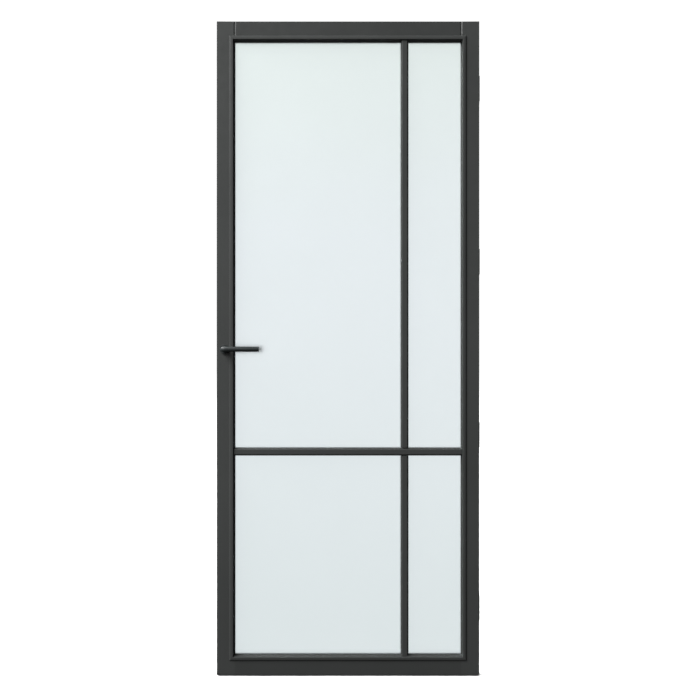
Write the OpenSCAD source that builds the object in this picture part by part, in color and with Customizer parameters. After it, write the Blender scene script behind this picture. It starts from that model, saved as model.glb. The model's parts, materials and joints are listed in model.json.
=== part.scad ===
// Slim framed glass door leaf with glazing bars, four butt hinges,
// a magnetic latch and a pair of round bar levers.
// X runs across the leaf, Y through it (front face at -Y), Z up from its bottom edge.

/* [Leaf] */
// Width of the door leaf
leaf_w = 930; // [730:10:1130]
// Height of the door leaf
leaf_h = 2315; // [2015:5:2800]
// Thickness of the door leaf
leaf_t = 40; // [36:1:54]
// Width of each upright stile, edge to glass
stile_w = 64; // [62:1:90]
// Height of the top and bottom rails, edge to glass
rail_w = 70; // [60:1:140]
// Chamfer along the leaf's outer edges
arris = 1; // [0.5:0.1:2]
// Width of the V groove over each top joint
groove_w = 2.4; // [1:0.1:4]
// Diameter of the corner dowels
dowel_d = 10; // [8:1:14]
// Length of the corner dowels
dowel_l = 76; // [50:1:90]

/* [Glazing] */
// Thickness of the laminated pane
glass_t = 8; // [6:0.1:12]
// Thickness of the tape on each side of the pane
tape_t = 1; // [0.5:0.1:2]
// Width of a glazing bead, outer line to glass
bead_w = 20; // [16:0.5:24]
// Height of a bead's crown above the leaf's face
bead_proud = 4; // [2:0.1:6]
// Width of a bead's outer chamfer
bead_chamfer = 5; // [3:0.1:6]
// Width of a bead's flat crown
bead_crown = 9; // [6:0.1:10]
// Overlap of the beads onto the pane
glass_bite = 10; // [8:0.5:13]
// Space left all round the pane's edge
edge_gap = 3; // [2:0.1:5]

/* [Glazing bars] */
// Width of a glazing bar at its foot
bar_w = 27; // [18:0.5:40]
// Width of a glazing bar's flat crown
bar_crown = 17; // [10:0.5:30]
// Height of a glazing bar, without its tape
bar_h = 14; // [10:0.5:18]
// Height of a glazing bar's upright side, below its chamfer
bar_side = 8; // [4:0.5:10]
// Height of the cross bar's centre line
cross_bar_z = 790; // [500:10:1000]
// Centre line of the upright bar, from the glass edge on the hinge side
upright_bar_in = 200; // [120:5:300]
// Gap left where a glazing bar meets a bead or another bar
bar_gap = 1.5; // [0.5:0.1:3]

/* [Hinges] */
// Height of a hinge
hinge_h = 89; // [76:1:120]
// Width of a hinge plate across the leaf's edge
hinge_plate_w = 31; // [26:1:34]
// Thickness of a hinge plate
hinge_plate_t = 2; // [2:0.1:3.5]
// Outside diameter of a hinge knuckle
knuckle_d = 13; // [12:0.1:16]
// Diameter of a hinge pin
hinge_pin_d = 7; // [6:0.1:8.5]
// Gap between the two closed plates
hinge_gap = 0.8; // [0.6:0.1:3]
// Centre of the end hinges, from the leaf's top and bottom
hinge_inset = 235; // [150:5:300]
// Thickness of a bearing ring between two knuckles
bearing_t = 1.6; // [1:0.1:3]
// Spacing of the plate's screws across the leaf
hinge_screws_y = 16; // [12:0.5:18]
// Spacing of the plate's screws along the hinge
hinge_screws_z = 60; // [50:1:64]
// Diameter of the screw holes in the jamb plates
hinge_hole_d = 5.2; // [5:0.1:6]

/* [Lever set] */
// Height of the lever's spindle
lever_z = 1154; // [900:1:1300]
// Diameter of the lever's round bar
lever_d = 18; // [16:0.1:22]
// Length of the lever, heel to tip
lever_l = 135; // [110:1:160]
// Distance from the leaf's face to the lever bar's centre line
lever_reach = 48; // [40:1:60]
// Bend radius of the lever's centre line
lever_bend = 12; // [11:0.5:16]
// Diameter of the rose
rose_d = 32; // [30:0.5:40]
// Height of the rose
rose_h = 8; // [6:0.5:10]
// Diameter of the lever's journal in the rose
journal_d = 14; // [12.5:0.1:15]
// Width of the square spindle
spindle_w = 8; // [7:1:8]

/* [Lock] */
// Height of the lock case
lock_h = 110; // [100:1:130]
// Thickness of the lock case
lock_t = 14; // [13:0.5:16]
// Wall of the lock case
lock_wall = 1.2; // [1:0.1:1.6]
// Width of the faceplate
faceplate_w = 20; // [18:1:24]
// Height of the faceplate
faceplate_h = 174; // [160:1:200]
// Thickness of the faceplate
faceplate_t = 3; // [2:0.5:3]
// Height of the latch bolt's head
latch_h = 18; // [14:1:22]
// Thickness of the latch bolt's head
latch_t = 10; // [8:0.5:11]
// Length of the latch bolt's head
latch_l = 18; // [16:1:20]
// Height of the latch above the spindle
latch_rise = 26; // [24:1:30]

/* [Hidden] */
$fn = 64;

// Clearances
slip = 0.1;       // round a piece let into another
run = 0.05;       // radial, round a turning shaft or a driven screw
near = 0.3;       // between two pieces that move past each other
over = 1;         // a cut's reach past the face it opens

// Finishes
paint = [0.24, 0.24, 0.24];
black = [0.13, 0.13, 0.13];
steel = [0.72, 0.72, 0.70];
zinc = [0.78, 0.76, 0.70];
beech = [0.80, 0.66, 0.46];
clear = [0.86, 0.93, 0.91, 0.45];
foam = [0.16, 0.16, 0.17];

// Leaf
half_w = leaf_w / 2;
half_t = leaf_t / 2;
groove_d = groove_w / 2;
bead_line_x = half_w - stile_w + bead_w;      // the beads' outer line, across
bead_line_z = rail_w - bead_w;                // the beads' outer line, up
web_half = glass_t / 2 + tape_t;              // the tongue between the bead rebates
pocket_in = bead_w - glass_bite - edge_gap;   // the pane's pocket, inside the bead line
sight_x = half_w - stile_w;
rail_l = 2 * sight_x;

// Corner dowels
dowel_inset = 16;     // first dowel from the rail's outer edge
dowel_pitch = 20;     // between the two dowels of a corner
dowel_zs = [
    dowel_inset, dowel_inset + dowel_pitch,
    leaf_h - dowel_inset, leaf_h - dowel_inset - dowel_pitch
];

// Pane and tapes
pane_w = 2 * (sight_x + glass_bite);
pane_h = leaf_h - 2 * (rail_w - glass_bite);
tape_in = 0.5;        // the tapes lie this far from the pane's edge, the bead's foot and each other
tape_w = glass_bite - 2 * tape_in;
block_l = 100;        // length of a setting block
block_in = 90;        // a setting block's centre from the pane's corner

// Glazing bars
bead_slope = (bead_w - bead_chamfer - bead_crown) / (half_t + bead_proud - web_half);
upright_bar_x = sight_x - upright_bar_in;
bar_tape_in = 3;      // a bar's tape lies this far inside its edges
bar_foot_x = sight_x - bar_gap;
bar_foot_low = rail_w + bar_gap;
bar_foot_high = leaf_h - rail_w - bar_gap;

// Hinges
knuckle_r = knuckle_d / 2;
pin_r = hinge_pin_d / 2;
hinge_x = half_w + hinge_gap / 2;
hinge_y = half_t + knuckle_r + near;
hinge_zs = [for (i = [0:3]) hinge_inset + i * (leaf_h - 2 * hinge_inset) / 3];
knuckles = 5;
knuckle_pitch = hinge_h / knuckles;
pin_head_t = 2.5;
hinge_screw_l = 32;
hinge_screw_r = 2;
hinge_head_r = 3.8;

// Lever set
rose_gap = 0.5;       // between the rose and the bead
spindle_x = -(bead_line_x + rose_gap + rose_d / 2);
lever_r = lever_d / 2;
neck_gap = 0.4;       // between the rose's face and the neck
journal_r = journal_d / 2;
journal_in = 4;       // the journal's reach into the stile
lever_bar_y = half_t + lever_reach;
bend_y = lever_bar_y - lever_bend;
bend_solid = 8;       // between the spindle's end and the bend
spindle_end = bend_y - bend_solid;
socket_w = spindle_w + 2 * slip;
grub_out = 10;        // the grub screw, from the rose's face
grub_y = half_t + rose_h + grub_out;
grub_r = 2.5;
grub_socket_r = 1.4;
grub_socket_l = 2;
rose_wall = 1.5;
rose_base_t = rose_h - rose_wall - near;
rose_edge = 1.2;      // chamfer round the rose's rim
rose_screw_r = 1.5;
rose_screw_head_r = 2.8;
rose_screw_at = (journal_r + rose_d / 2 - rose_wall) / 2;
rose_screw_l = 14;
stile_bore_r = journal_r + 3;

// Lock
lock_front_x = -half_w + faceplate_t;
lock_back_x = -(bead_line_x + 3);
lock_drop = 64;       // the case's foot, below the spindle
lock_low = lever_z - lock_drop;
lock_mid = lock_low + lock_h / 2;
lock_half = lock_t / 2;
lock_in = lock_half - lock_wall;
follower_journal_r = 6.5;
follower_r = 8;
draw_lobe_r = 12;     // reach of the lobe that draws the latch
draw_lobe_w = 5;
draw_lobe_half_t = 3;
draw_gap = 1.5;       // between the lobe and the latch's tongue
tongue_half_t = 2;
spring_arm_r = 15;    // reach of the arm that the return spring pushes
spring_arm_w = 6;
spring_arm_half_t = 4;
stop_drop = 10;       // the top of the arm's stop, below the spindle
latch_z = lever_z + latch_rise;
latch_back_x = -half_w + latch_l;
guide_x = latch_back_x + 1.5;
guide_t = 1.5;
rod_r = 2.5;
collar_t = 2.4;
collar_in = 1.8;      // between the collar and the case's back wall
collar_x = lock_back_x - lock_wall - collar_in - collar_t;
collar_r = 5;
magnet_r = 4;
magnet_l = 4;
latch_wire_r = 0.35;
latch_coil_r = 3.6;
latch_turns = 6;
return_wire_r = 0.45;
return_coil_r = 3.3;
return_turns = 8;
return_drop = 11;     // the return spring's axis, below the spindle
return_z = lever_z - return_drop;
return_pin_l = 8;
pillar_r = 3;
pillar_in = lock_wall + pillar_r - 0.6;       // the pillars run into the case's walls
pillar_up = 10;       // lower pillars, above the case's foot
pillar_down = 5;      // upper pillars, below the case's top
cover_screw_r = 1.3;
cover_screw_head_r = 2.2;
cover_screw_l = 6;
pillars = [
    [lock_front_x + pillar_in, lock_low + pillar_up],
    [lock_back_x - pillar_in, lock_low + pillar_up],
    [lock_front_x + pillar_in, lock_low + lock_h - pillar_down],
    [lock_back_x - pillar_in, lock_low + lock_h - pillar_down]
];
plate_screw_in = 10;  // from the faceplate's ends
plate_screws_z = [
    lock_mid - faceplate_h / 2 + plate_screw_in, lock_mid + faceplate_h / 2 - plate_screw_in
];
plate_screw_r = 1.9;
plate_screw_head_r = 3.6;
plate_screw_l = 30;

// ---- shared shapes ----

// A block between two opposite corners
module block(low, high) {
    translate(low) cube(high - low);
}

// A cylinder along X, starting at the origin
module along_x(r, length) {
    rotate([0, 90, 0]) cylinder(r = r, h = length);
}

// A cylinder along Y, starting at the origin
module along_y(r, length) {
    rotate([-90, 0, 0]) cylinder(r = r, h = length);
}

// Draws its children on the front, at -Y, or mirrored onto the back
module on_face(back) {
    if (back) mirror([0, 1, 0]) children();
    else children();
}

// A countersunk wood screw: its head's face is at the origin and it points along +Z
module wood_screw(head_r, shank_r, length) {
    head_h = head_r - shank_r;
    recess = [head_r * 1.1, head_r * 0.26, head_h * 0.8];
    difference() {
        rotate_extrude()
            polygon([[0, 0], [head_r, 0], [shank_r, head_h], [shank_r, length - 2 * shank_r], [0, length]]);
        for (turn = [0, 90])
            rotate([0, 0, turn]) translate([-recess[0] / 2, -recess[1] / 2, -over])
                cube([recess[0], recess[1], recess[2] + over]);
    }
}

// The seat that a wood screw's head goes into, opened past the face
module countersink(head_r, shank_r) {
    rotate_extrude()
        polygon([[0, -over], [head_r + slip, -over], [head_r + slip, 0],
                 [shank_r + slip, head_r - shank_r], [0, head_r - shank_r]]);
}

// The pilot hole of a wood screw, opened past the face
module pilot(shank_r, length) {
    translate([0, 0, -over]) cylinder(r = shank_r + run, h = length + over + 1);
}

// A coil of round wire along +Z, from the origin
module coil(mean_r, wire_r, length, turns) {
    sides = 6;
    steps = 12 * turns;
    rise = length - 2 * wire_r;
    points = [
        for (i = [0:steps], j = [0:sides - 1])
            let (a = 360 * turns * i / steps, b = 360 * j / sides, r = mean_r + wire_r * cos(b))
            [r * cos(a), r * sin(a), wire_r + rise * i / steps + wire_r * sin(b)]
    ];
    walls = [
        for (i = [0:steps - 1], j = [0:sides - 1])
            let (k = (j + 1) % sides, here = i * sides, next = here + sides)
            each [[here + j, next + j, next + k], [here + j, next + k, here + k]]
    ];
    start = [[for (j = [0:sides - 1]) j]];
    finish = [[for (j = [sides - 1:-1:0]) steps * sides + j]];
    polyhedron(points = points, faces = concat(start, walls, finish), convexity = 10);
}

// ---- frame ----

// Everything cut from the frame for the pane and the beads
module glazing_cuts() {
    pocket_x = bead_line_x - pocket_in;
    pocket_z = bead_line_z + pocket_in;
    block([-pocket_x, -half_t - over, pocket_z], [pocket_x, half_t + over, leaf_h - pocket_z]);
    for (back = [false, true]) on_face(back)
        block([-bead_line_x, -half_t - over, bead_line_z], [bead_line_x, -web_half, leaf_h - bead_line_z]);
}

// V grooves on both faces over the top joints, down to the beads
module joint_grooves() {
    for (side = [-1, 1], back = [false, true]) on_face(back)
        translate([side * sight_x, -half_t, leaf_h - bead_line_z])
            linear_extrude(bead_line_z + over)
                polygon([[-groove_w / 2 - groove_d, -groove_d], [groove_w / 2 + groove_d, -groove_d],
                         [0, groove_d]]);
}

module dowel_holes() {
    for (side = [-1, 1], z = dowel_zs)
        translate([side * sight_x - dowel_l / 2 - slip, 0, z]) along_x(dowel_d / 2 + run, dowel_l + 2 * slip);
}

// A prism along X of the whole leaf's outline in Y and Z, from x to x + length
module leaf_blank(x, length) {
    translate([x, 0, 0]) rotate([90, 0, 90]) linear_extrude(length)
        polygon([[-half_t + arris, 0], [half_t - arris, 0], [half_t, arris],
                 [half_t, leaf_h - arris], [half_t - arris, leaf_h], [-half_t + arris, leaf_h],
                 [-half_t, leaf_h - arris], [-half_t, arris]]);
}

// A stile's blank, its outer edge at +X
module stile_blank() intersection() {
    leaf_blank(sight_x, stile_w);
    linear_extrude(leaf_h)
        polygon([[sight_x, -half_t], [half_w - arris, -half_t], [half_w, -half_t + arris],
                 [half_w, half_t - arris], [half_w - arris, half_t], [sight_x, half_t]]);
}

module lock_stile() color(paint) difference() {
    mirror([1, 0, 0]) stile_blank();
    glazing_cuts();
    joint_grooves();
    dowel_holes();
    lock_mortise();
    for (z = plate_screws_z) translate([-half_w, 0, z]) rotate([0, 90, 0])
        pilot(plate_screw_r, plate_screw_l);
    for (back = [false, true]) on_face(back) {
        translate([spindle_x, -half_t - over, lever_z]) along_y(stile_bore_r, half_t + over);
        for (up = [-1, 1]) translate([spindle_x, -half_t, lever_z + up * rose_screw_at])
            rotate([-90, 0, 0]) pilot(rose_screw_r, rose_screw_l - rose_base_t);
    }
}

module hinge_stile() color(paint) difference() {
    stile_blank();
    glazing_cuts();
    joint_grooves();
    dowel_holes();
    for (z = hinge_zs) translate([0, 0, z]) {
        block([half_w - hinge_plate_t - slip, half_t - hinge_plate_w - slip, -hinge_h / 2 - slip],
              [half_w + over, half_t + over, hinge_h / 2 + slip]);
        at_hinge_screws() translate([half_w - hinge_plate_t, 0, 0]) rotate([0, -90, 0])
            pilot(hinge_screw_r, hinge_screw_l - hinge_plate_t);
    }
}

// A rail's blank between the stiles, from the height z up
module rail_blank(z) intersection() {
    leaf_blank(-sight_x, rail_l);
    block([-sight_x, -half_t, z], [sight_x, half_t, z + rail_w]);
}

module top_rail() color(paint) difference() {
    rail_blank(leaf_h - rail_w);
    glazing_cuts();
    joint_grooves();
    dowel_holes();
}

module bottom_rail() color(paint) difference() {
    rail_blank(0);
    glazing_cuts();
    dowel_holes();
}

module corner_dowels() color(beech)
    for (side = [-1, 1], z = dowel_zs)
        translate([side * sight_x - dowel_l / 2, 0, z]) {
            translate([1, 0, 0]) along_x(dowel_d / 2, dowel_l - 2);
            rotate([0, 90, 0]) cylinder(r1 = dowel_d / 2 - 1, r2 = dowel_d / 2, h = 1);
            translate([dowel_l - 1, 0, 0]) rotate([0, 90, 0])
                cylinder(r1 = dowel_d / 2, r2 = dowel_d / 2 - 1, h = 1);
        }

// ---- glazing ----

module glass_pane() color(clear)
    translate([-pane_w / 2, -glass_t / 2, leaf_h / 2 - pane_h / 2]) cube([pane_w, glass_t, pane_h]);

// Four tapes round the pane's edge, under the beads
module glazing_tapes(back) color(foam) on_face(back) {
    x = pane_w / 2 - tape_in;
    z = pane_h / 2 - tape_in;
    translate([0, 0, leaf_h / 2]) for (side = [-1, 1]) {
        block([-x, -web_half, side * (z - tape_w / 2) - tape_w / 2],
              [x, -glass_t / 2, side * (z - tape_w / 2) + tape_w / 2]);
        block([side * (x - tape_w / 2) - tape_w / 2, -web_half, -z + tape_w + tape_in],
              [side * (x - tape_w / 2) + tape_w / 2, -glass_t / 2, z - tape_w - tape_in]);
    }
}

// Blocks that seat the pane on the bottom rail and hold it between the stiles
module setting_blocks() color(foam) {
    z_low = leaf_h / 2 - pane_h / 2;
    for (side = [-1, 1]) {
        x = side * (pane_w / 2 - block_in);
        block([x - block_l / 2, -glass_t / 2, z_low - edge_gap], [x + block_l / 2, glass_t / 2, z_low]);
        for (up = [-1, 1]) {
            z = leaf_h / 2 + up * (pane_h / 2 - block_in);
            outer = side * (pane_w / 2 + edge_gap / 2);
            block([outer - edge_gap / 2, -glass_t / 2, z - block_l / 2],
                  [outer + edge_gap / 2, glass_t / 2, z + block_l / 2]);
        }
    }
}

// A mitred bead along X with its outer line on the X axis, its glass side up and its crown at -Y
module bead(length) {
    face = half_t;
    crown = half_t + bead_proud;
    intersection() {
        translate([-length / 2, 0, 0]) rotate([90, 0, 90]) linear_extrude(length)
            polygon([[-web_half, 0], [-face, 0], [-crown, bead_chamfer],
                     [-crown, bead_chamfer + bead_crown], [-web_half, bead_w]]);
        rotate([90, 0, 0]) linear_extrude(crown + over)
            polygon([[-length / 2, 0], [length / 2, 0],
                     [length / 2 - bead_w, bead_w], [-length / 2 + bead_w, bead_w]]);
    }
}

module bead_upright(side, back) color(paint) on_face(back)
    translate([side * bead_line_x, 0, leaf_h / 2]) rotate([0, -side * 90, 0])
        bead(leaf_h - 2 * bead_line_z);

module bead_bottom(back) color(paint) on_face(back)
    translate([0, 0, bead_line_z]) bead(2 * bead_line_x);

module bead_top(back) color(paint) on_face(back)
    translate([0, 0, leaf_h - bead_line_z]) mirror([0, 0, 1]) bead(2 * bead_line_x);

// A glazing bar along X between two feet, with each end cut square or to the bead's slope
module glazing_bar(foot_a, foot_b, slope_a, slope_b) {
    length = foot_b - foot_a + 2 * bar_h;
    intersection() {
        translate([foot_a - bar_h, 0, 0]) rotate([90, 0, 90]) linear_extrude(length)
            polygon([[-web_half, -bar_w / 2], [-web_half - bar_side, -bar_w / 2],
                     [-web_half - bar_h, -bar_crown / 2], [-web_half - bar_h, bar_crown / 2],
                     [-web_half - bar_side, bar_w / 2], [-web_half, bar_w / 2]]);
        translate([0, 0, -bar_w]) linear_extrude(2 * bar_w)
            polygon([[foot_a, -web_half], [foot_b, -web_half],
                     [foot_b + slope_b * bar_h, -web_half - bar_h],
                     [foot_a - slope_a * bar_h, -web_half - bar_h]]);
    }
}

module cross_bar(back) color(paint) on_face(back)
    translate([0, 0, cross_bar_z]) glazing_bar(-bar_foot_x, bar_foot_x, bead_slope, bead_slope);

module upright_bar_upper(back) color(paint) on_face(back)
    translate([upright_bar_x, 0, 0]) rotate([0, -90, 0])
        glazing_bar(cross_bar_z + bar_w / 2 + bar_gap, bar_foot_high, 0, bead_slope);

module upright_bar_lower(back) color(paint) on_face(back)
    translate([upright_bar_x, 0, 0]) rotate([0, -90, 0])
        glazing_bar(bar_foot_low, cross_bar_z - bar_w / 2 - bar_gap, bead_slope, 0);

// The tapes that hold the bars of one face to the pane
module bar_tapes(back) color(foam) on_face(back) {
    half = bar_w / 2 - bar_tape_in;
    joint = bar_w / 2 + bar_gap + bar_tape_in;
    block([-bar_foot_x + bar_tape_in, -web_half, cross_bar_z - half],
          [bar_foot_x - bar_tape_in, -glass_t / 2, cross_bar_z + half]);
    block([upright_bar_x - half, -web_half, cross_bar_z + joint],
          [upright_bar_x + half, -glass_t / 2, bar_foot_high - bar_tape_in]);
    block([upright_bar_x - half, -web_half, bar_foot_low + bar_tape_in],
          [upright_bar_x + half, -glass_t / 2, cross_bar_z - joint]);
}

// ---- hinges ----

module at_hinge_screws()
    for (y = [-1, 1], z = [-1, 1])
        translate([0, half_t - hinge_plate_w / 2 + y * hinge_screws_y / 2, z * hinge_screws_z / 2]) children();

// The stretch of the pin that knuckle i covers, as [low, high] from the hinge's centre
function knuckle_span(i) = [
    i * knuckle_pitch - hinge_h / 2 + (i > 0 ? bearing_t / 2 + slip : 0),
    (i + 1) * knuckle_pitch - hinge_h / 2 - (i < knuckles - 1 ? bearing_t / 2 + slip : 0)
];

// A hinge plate at the leaf's edge, with the knuckles whose numbers are given
module hinge_plate(x_low, own, hole_r) {
    difference() {
        union() {
            block([x_low, half_t - hinge_plate_w, -hinge_h / 2], [x_low + hinge_plate_t, half_t, hinge_h / 2]);
            for (i = own) {
                span = knuckle_span(i);
                block([x_low, half_t - over, span[0]], [x_low + hinge_plate_t, hinge_y, span[1]]);
                translate([hinge_x, hinge_y, span[0]]) cylinder(r = knuckle_r, h = span[1] - span[0]);
            }
        }
        translate([hinge_x, hinge_y, -hinge_h / 2 - over]) cylinder(r = pin_r + run, h = hinge_h + 2 * over);
        at_hinge_screws() translate([x_low - over, 0, 0]) along_x(hole_r, hinge_plate_t + 2 * over);
        children();
    }
}

module hinge_door_plate(n) color(steel) translate([0, 0, hinge_zs[n - 1]])
    hinge_plate(half_w - hinge_plate_t, [1, 3], hinge_screw_r + slip)
        at_hinge_screws() translate([half_w, 0, 0]) rotate([0, -90, 0])
            countersink(hinge_head_r, hinge_screw_r);

module hinge_jamb_plate(n) color(steel) translate([0, 0, hinge_zs[n - 1]])
    hinge_plate(half_w + hinge_gap, [0, 2, 4], hinge_hole_d / 2)
        at_hinge_screws() translate([half_w + hinge_gap, 0, 0]) rotate([0, 90, 0])
            countersink(hinge_head_r, hinge_screw_r);

module hinge_pin(n) color(steel) translate([hinge_x, hinge_y, hinge_zs[n - 1]]) {
    translate([0, 0, -hinge_h / 2]) cylinder(r = pin_r, h = hinge_h);
    for (up = [0, 1]) mirror([0, 0, up]) translate([0, 0, hinge_h / 2]) {
        cylinder(r = knuckle_r, h = pin_head_t - 1);
        translate([0, 0, pin_head_t - 1]) cylinder(r1 = knuckle_r, r2 = knuckle_r - 1, h = 1);
    }
}

module hinge_bearings() color(zinc)
    for (z = hinge_zs, i = [1:knuckles - 1])
        translate([hinge_x, hinge_y, z - hinge_h / 2 + i * knuckle_pitch - bearing_t / 2]) difference() {
            cylinder(r = knuckle_r - near, h = bearing_t);
            translate([0, 0, -over]) cylinder(r = pin_r + run, h = bearing_t + 2 * over);
        }

module hinge_screws() color(steel)
    for (z = hinge_zs) translate([0, 0, z]) at_hinge_screws()
        translate([half_w, 0, 0]) rotate([0, -90, 0]) wood_screw(hinge_head_r, hinge_screw_r, hinge_screw_l);

// ---- lock ----

// The faceplate's outline in Y and Z, grown by a clearance, from x to x + depth
module faceplate_blank(x, depth, grow) {
    r = faceplate_w / 2 + grow;
    reach = faceplate_h / 2 - faceplate_w / 2;
    translate([x, 0, lock_mid]) rotate([90, 0, 90]) linear_extrude(depth) union() {
        square([2 * r, 2 * reach], center = true);
        for (up = [-1, 1]) translate([0, up * reach]) circle(r = r);
    }
}

module lock_mortise() {
    faceplate_blank(-half_w - over, faceplate_t + over, slip);
    block([lock_front_x - over, -lock_half - slip, lock_low - slip],
          [lock_back_x + slip, lock_half + slip, lock_low + lock_h + slip]);
}

// The latch's head in Y and Z, grown by a clearance, from x to x + depth
module latch_blank(x, depth, grow)
    block([x, -latch_t / 2 - grow, latch_z - latch_h / 2 - grow],
          [x + depth, latch_t / 2 + grow, latch_z + latch_h / 2 + grow]);

module faceplate() color(steel) difference() {
    faceplate_blank(-half_w, faceplate_t, 0);
    latch_blank(-half_w - over, faceplate_t + 2 * over, near);
    for (z = plate_screws_z) translate([-half_w, 0, z]) rotate([0, 90, 0]) {
        countersink(plate_screw_head_r, plate_screw_r);
        translate([0, 0, -over]) cylinder(r = plate_screw_r + slip, h = faceplate_t + 2 * over);
    }
}

module faceplate_screws() color(steel)
    for (z = plate_screws_z) translate([-half_w, 0, z]) rotate([0, 90, 0])
        wood_screw(plate_screw_head_r, plate_screw_r, plate_screw_l);

module lock_case() color(steel) {
    inner_front = lock_front_x + lock_wall;
    inner_back = lock_back_x - lock_wall;
    stop_x = spindle_x + spring_arm_w / 2 + near;
    difference() {
        union() {
            difference() {
                block([lock_front_x, -lock_in, lock_low], [lock_back_x, lock_half, lock_low + lock_h]);
                block([inner_front, -lock_half - over, lock_low + lock_wall],
                      [inner_back, lock_in, lock_low + lock_h - lock_wall]);
            }
            for (p = pillars) translate([p[0], -lock_in, p[1]]) along_y(pillar_r, 2 * lock_in);
            // Guide for the latch's rod
            block([guide_x, -lock_in, latch_z - latch_h / 2], [guide_x + guide_t, lock_in, lock_low + lock_h]);
            // Stop for the spring arm
            block([stop_x, -lock_in + near, lever_z - spring_arm_r], [lock_back_x, lock_in + slip, lever_z - stop_drop]);
            // Pin inside the return spring
            translate([inner_front, 0, return_z]) along_x(return_coil_r - return_wire_r - near, return_pin_l);
        }
        latch_blank(lock_front_x - over, lock_wall + 2 * over, near);
        translate([guide_x - over, 0, latch_z]) along_x(rod_r + run, guide_t + 2 * over);
        translate([spindle_x, lock_in - over, lever_z]) along_y(follower_journal_r + run, lock_wall + 2 * over);
        for (p = pillars) translate([p[0], -lock_in - over, p[1]]) along_y(cover_screw_r + run, cover_screw_l + over);
    }
}

module lock_cover() color(steel) difference() {
    block([lock_front_x, -lock_half, lock_low], [lock_back_x, -lock_in, lock_low + lock_h]);
    translate([spindle_x, -lock_half - over, lever_z]) along_y(follower_journal_r + run, lock_wall + 2 * over);
    for (p = pillars) translate([p[0], -lock_half - over, p[1]])
        along_y(cover_screw_r + slip, lock_wall + 2 * over);
    for (p = pillars) translate([p[0], -lock_half, p[1]]) rotate([-90, 0, 0])
        countersink(cover_screw_head_r, cover_screw_r);
}

module lock_cover_screws() color(zinc)
    for (p = pillars) translate([p[0], -lock_half, p[1]]) rotate([-90, 0, 0])
        wood_screw(cover_screw_head_r, cover_screw_r, cover_screw_l);

module latch_bolt() color(black) difference() {
    union() {
        latch_blank(-half_w, latch_l, 0);
        translate([latch_back_x - over, 0, latch_z]) along_x(rod_r, collar_x + collar_t - latch_back_x + over);
        translate([collar_x, 0, latch_z]) along_x(collar_r, collar_t);
        // Tongue that the follower's lobe reaches for
        block([collar_x, -tongue_half_t, lever_z + draw_lobe_r + draw_gap],
              [collar_x + collar_t, tongue_half_t, latch_z - rod_r / 2]);
    }
    translate([-half_w - over, 0, latch_z]) along_x(magnet_r + run, magnet_l + over + slip);
}

module latch_magnet() color(zinc) translate([-half_w, 0, latch_z]) along_x(magnet_r, magnet_l);

module latch_spring() color(steel)
    translate([guide_x + guide_t + slip, 0, latch_z]) rotate([0, 90, 0])
        coil(latch_coil_r, latch_wire_r, collar_x - guide_x - guide_t - 2 * slip,
             latch_turns);

module follower() color(zinc) difference() {
    union() {
        translate([spindle_x, -lock_half, lever_z]) along_y(follower_journal_r, lock_t);
        translate([spindle_x, -lock_in + slip, lever_z]) along_y(follower_r, 2 * (lock_in - slip));
        block([spindle_x - draw_lobe_w / 2, -draw_lobe_half_t, lever_z],
              [spindle_x + draw_lobe_w / 2, draw_lobe_half_t, lever_z + draw_lobe_r]);
        block([spindle_x - spring_arm_w / 2, -spring_arm_half_t, lever_z - spring_arm_r],
              [spindle_x + spring_arm_w / 2, spring_arm_half_t, lever_z]);
    }
    block([spindle_x - socket_w / 2, -lock_half - over, lever_z - socket_w / 2],
          [spindle_x + socket_w / 2, lock_half + over, lever_z + socket_w / 2]);
}

module follower_spring() color(steel)
    translate([lock_front_x + lock_wall + slip, 0, return_z]) rotate([0, 90, 0])
        coil(return_coil_r, return_wire_r,
             spindle_x - spring_arm_w / 2 - lock_front_x - lock_wall - 2 * slip,
             return_turns);

// ---- lever set ----

module spindle() color(steel)
    block([spindle_x - spindle_w / 2, -spindle_end, lever_z - spindle_w / 2],
          [spindle_x + spindle_w / 2, spindle_end, lever_z + spindle_w / 2]);

module lever(back) color(black) on_face(back) translate([spindle_x, 0, lever_z]) difference() {
    union() {
        // Journal in the rose, then the neck out to the bend
        translate([0, -half_t - rose_h - neck_gap - over, 0])
            along_y(journal_r, rose_h + neck_gap + over + journal_in);
        translate([0, -bend_y, 0]) along_y(lever_r, bend_y - half_t - rose_h - neck_gap);
        translate([lever_bend, -bend_y, 0]) rotate([0, 0, 180]) rotate_extrude(angle = 90)
            translate([lever_bend, 0]) circle(r = lever_r);
        translate([lever_bend, -lever_bar_y, 0]) along_x(lever_r, lever_l - lever_r - lever_bend - 1);
        translate([lever_l - lever_r - 1, -lever_bar_y, 0]) rotate([0, 90, 0])
            cylinder(r1 = lever_r, r2 = lever_r - 1, h = 1);
    }
    block([-socket_w / 2, -spindle_end - slip, -socket_w / 2], [socket_w / 2, 0, socket_w / 2]);
    translate([0, -grub_y, -lever_r - over]) cylinder(r = grub_r + run, h = lever_r + over - slip);
}

// Socket screws that clamp the levers to the spindle
module grub_screws() color(steel)
    for (back = [false, true]) on_face(back)
        translate([spindle_x, -grub_y, lever_z - lever_r + near]) difference() {
            cylinder(r = grub_r, h = lever_r - near - spindle_w / 2);
            translate([0, 0, -over]) cylinder(r = grub_socket_r, h = grub_socket_l + over, $fn = 6);
        }

module rose_base(back) color(zinc) on_face(back)
    translate([spindle_x, -half_t, lever_z]) rotate([90, 0, 0]) difference() {
        cylinder(r = rose_d / 2 - rose_wall - slip, h = rose_base_t);
        translate([0, 0, -over]) cylinder(r = journal_r + run, h = rose_base_t + 2 * over);
        for (up = [-1, 1]) translate([0, up * rose_screw_at, 0]) {
            translate([0, 0, -over]) cylinder(r = rose_screw_r + slip, h = rose_base_t + 2 * over);
            translate([0, 0, rose_base_t]) mirror([0, 0, 1]) countersink(rose_screw_head_r, rose_screw_r);
        }
    }

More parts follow.
